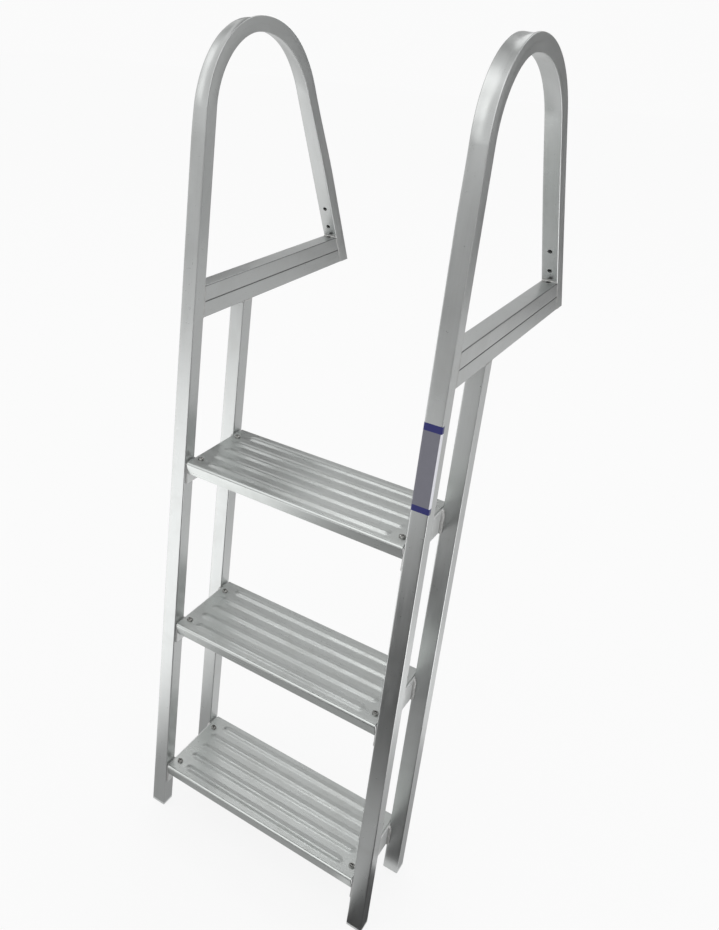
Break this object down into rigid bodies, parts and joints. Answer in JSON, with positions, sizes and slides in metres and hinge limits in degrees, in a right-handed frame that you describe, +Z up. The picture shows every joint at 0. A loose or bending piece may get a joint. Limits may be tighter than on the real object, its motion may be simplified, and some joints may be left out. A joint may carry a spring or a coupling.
{
  "type": "dock ladder",
  "caption": "Fixed aluminium dock ladder: two bent square-tube side frames with hand hoops and deck rails, joined by beaded treads, hung on the edge of a dock.",
  "frame": {"origin": "where the back of the right rear leg meets the underside of the right deck rail, midway across the tube: the edge of the dock", "axes": "+Z up, +Y onto the dock, +X to the right of somebody climbing the ladder"},
  "size_m": [0.418, 0.505, 1.374],
  "materials": {
    "tube_aluminium": "satin extruded",
    "tread_aluminium": "satin pressed sheet",
    "bracket_aluminium": "satin mill"
  },
  "bodies": {
    "root": {"right_hoop_rail": "tube_aluminium", "right_deck_rail_lower": "tube_aluminium", "right_deck_rail_upper": "tube_aluminium", "right_rear_leg": "tube_aluminium", "left_hoop_rail": "tube_aluminium", "left_deck_rail_lower": "tube_aluminium", "left_deck_rail_upper": "tube_aluminium", "left_rear_leg": "tube_aluminium", "bottom_tread": "tread_aluminium", "bottom_right_bracket": "bracket_aluminium", "bottom_left_bracket": "bracket_aluminium", "middle_tread": "tread_aluminium", "middle_right_bracket": "bracket_aluminium", "middle_left_bracket": "bracket_aluminium", "top_tread": "tread_aluminium", "top_right_bracket": "bracket_aluminium", "top_left_bracket": "bracket_aluminium"}
  },
  "joints": []
}
